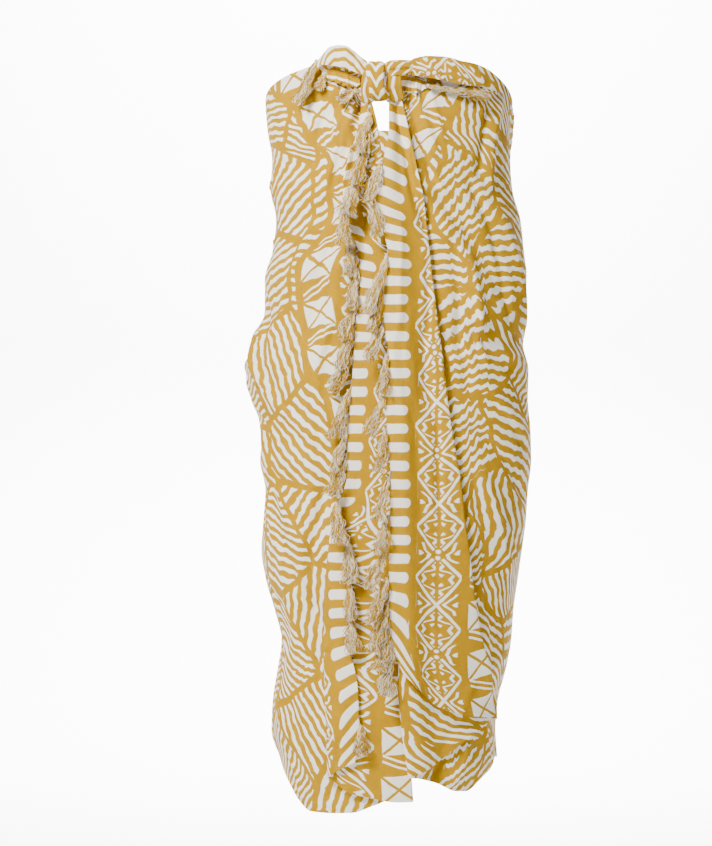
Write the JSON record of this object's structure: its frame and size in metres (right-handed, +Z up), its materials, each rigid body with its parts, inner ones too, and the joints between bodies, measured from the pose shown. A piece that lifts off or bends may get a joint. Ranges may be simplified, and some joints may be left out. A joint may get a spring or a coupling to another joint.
{
  "type": "sarong",
  "caption": "Fringed printed cloth wound once round the body as a strapless dress, knotted at the chest, its two ends folded back at the front; open at top and hem.",
  "frame": {"origin": "middle of the chest on the tube's axis, at the height of the knot's underside, where the wearer holds the cloth up", "axes": "+X to the viewer's right (the wearer's left), -Y out of the front, +Z up"},
  "size_m": [0.4299, 0.3295, 1.1218],
  "materials": {
    "cloth": "matte",
    "fringe": "matte"
  },
  "bodies": {
    "root": {"left_front": "cloth", "right_front": "cloth", "back": "cloth", "left_end": "cloth", "right_end": "cloth", "left_wing": "cloth", "right_collar": "cloth", "left_ruffle": "cloth", "right_ruffle": "cloth", "knot_loop": "cloth", "knot_band": "cloth", "knot_left_root": "cloth", "knot_right_root": "cloth", "right_tassel_01": "fringe", "right_tassel_02": "fringe", "right_tassel_03": "fringe", "right_tassel_04": "fringe", "right_tassel_05": "fringe", "right_tassel_06": "fringe", "right_tassel_07": "fringe", "right_tassel_08": "fringe", "right_tassel_09": "fringe", "right_tassel_10": "fringe", "right_tassel_11": "fringe", "right_tassel_12": "fringe", "right_tassel_13": "fringe", "right_tassel_14": "fringe", "right_tassel_15": "fringe", "left_tassel_01": "fringe", "left_tassel_02": "fringe", "left_tassel_03": "fringe", "left_tassel_04": "fringe", "left_tassel_05": "fringe", "left_tassel_06": "fringe", "left_tassel_07": "fringe", "left_tassel_08": "fringe", "left_tassel_09": "fringe", "left_tassel_10": "fringe", "left_tassel_11": "fringe", "left_tassel_12": "fringe", "left_tassel_13": "fringe", "left_tassel_14": "fringe", "left_tassel_15": "fringe", "left_tassel_16": "fringe", "left_tassel_17": "fringe", "wing_tassel": "fringe", "knot_tassel": "fringe", "left_ruffle_tassel": "fringe", "right_ruffle_tassel": "fringe"}
  },
  "joints": []
}
